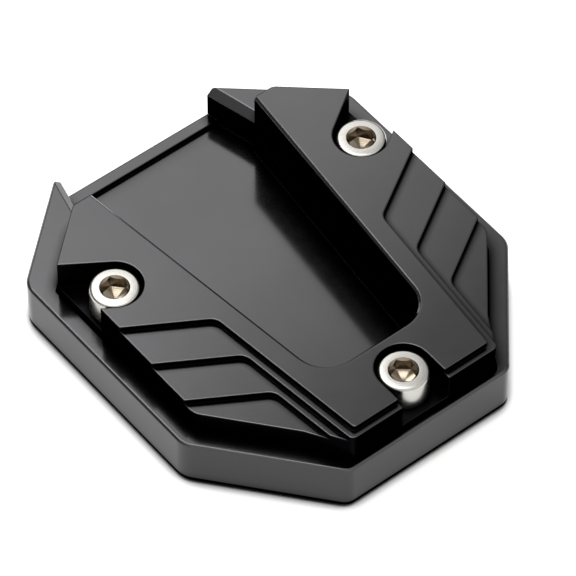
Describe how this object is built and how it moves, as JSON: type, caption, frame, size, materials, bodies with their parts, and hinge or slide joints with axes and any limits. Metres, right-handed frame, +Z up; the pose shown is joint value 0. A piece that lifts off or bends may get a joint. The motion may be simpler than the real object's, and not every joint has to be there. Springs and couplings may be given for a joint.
{
  "type": "kickstand foot enlarger",
  "caption": "Flat black foot that widens a motorbike kickstand: milled base plate with a rim and a screwed-on stepped clamp plate around a foot slot.",
  "frame": {"origin": "on the ground, in the middle of the base plate's underside", "axes": "+Z up out of the ground; +Y from the closed nose to the open mouth of the foot slot; +X to the right seen from the nose"},
  "size_m": [0.0804, 0.092, 0.0196],
  "materials": {
    "base_aluminium": "gloss black anodised, milled",
    "clamp_aluminium": "gloss black anodised, milled",
    "screw_steel": "bright stainless steel, turned and forged"
  },
  "bodies": {
    "root": {"base_plate": "base_aluminium", "clamp_plate": "clamp_aluminium", "screw_left": "screw_steel", "screw_right": "screw_steel", "screw_front": "screw_steel"}
  },
  "joints": []
}
